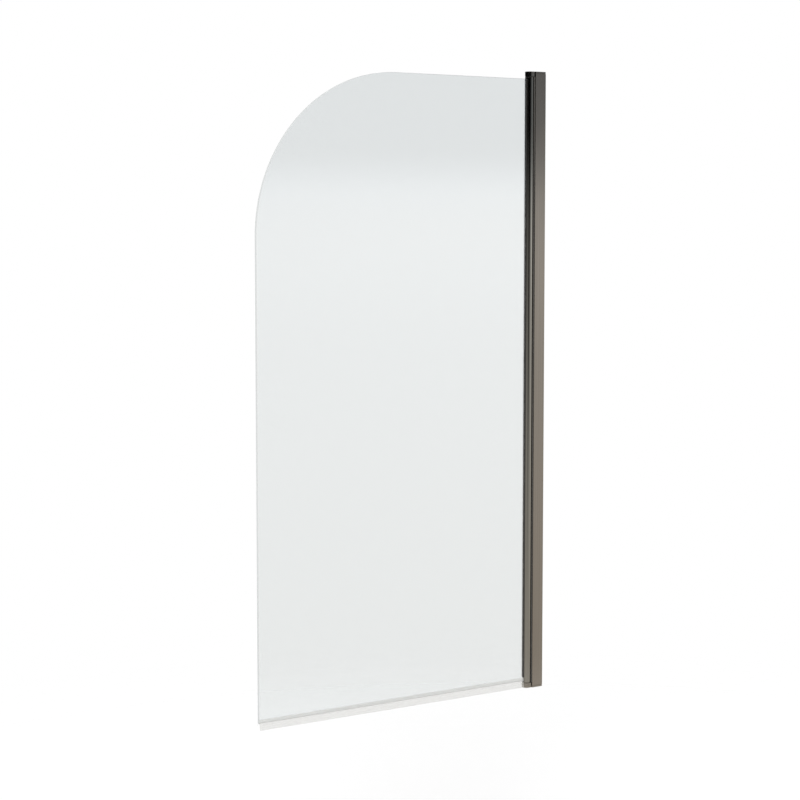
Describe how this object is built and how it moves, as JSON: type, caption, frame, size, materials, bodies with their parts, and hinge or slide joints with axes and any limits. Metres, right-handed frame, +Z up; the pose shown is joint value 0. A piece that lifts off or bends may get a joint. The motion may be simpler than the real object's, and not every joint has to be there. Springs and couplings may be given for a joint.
{
  "type": "bath screen",
  "caption": "Hinged bath screen: a clear glass sheet with a quarter-round top corner in a round hinge barrel, swinging on a slim adjustable wall channel, with a clear drip seal.",
  "frame": {"origin": "on the finished wall behind the middle of the wall channel, half way up", "axes": "+X into the wall (the screen reaches out along -X), +Y from the front of the glass to its back, where the clamp screws are, +Z up"},
  "size_m": [0.75, 0.0314, 1.4],
  "materials": {
    "profile_metal": "satin gunmetal anodised extrusion",
    "cap_metal": "plated moulding in the same warm grey",
    "clear_glass": "toughened, polished edges",
    "clear_vinyl": "clear extruded vinyl",
    "grey_vinyl": "soft translucent glazing vinyl",
    "black_rubber": "extruded black rubber",
    "bracket_zinc": "die-cast zinc, plated warm grey",
    "acetal": "black acetal",
    "steel": "stainless steel"
  },
  "bodies": {
    "wall_post": {"wall_channel": "profile_metal", "clamp_screws": "steel", "clamp_nut_plates": "steel", "clamp_washers": "acetal", "clamp_screw_covers": "cap_metal"},
    "hinge_post": {"expander_profile": "profile_metal", "front_wiper_seal": "black_rubber", "back_wiper_seal": "black_rubber", "bottom_bracket": "bracket_zinc", "top_bracket": "bracket_zinc", "bottom_bracket_screws": "steel", "top_bracket_screws": "steel", "pivot_bushes": "acetal", "bottom_cover_cap": "cap_metal", "top_cover_cap": "cap_metal"},
    "glass_leaf": {"hinge_barrel": "profile_metal", "barrel_end_plugs": "bracket_zinc", "glass_setting_block": "acetal", "glazing_gasket": "grey_vinyl", "glass_panel": "clear_glass", "bottom_seal": "clear_vinyl"}
  },
  "joints": [
    {"name": "profile_adjust", "type": "slide", "parent": "wall_post", "child": "hinge_post", "axis": [-1, 0, 0], "range_m": [0, 0.012]},
    {"name": "screen_swing", "type": "hinge", "parent": "hinge_post", "child": "glass_leaf", "pos_m": [-0.037, 0, 0], "axis": [0, 0, 1], "range_deg": [-90, 90]}
  ]
}
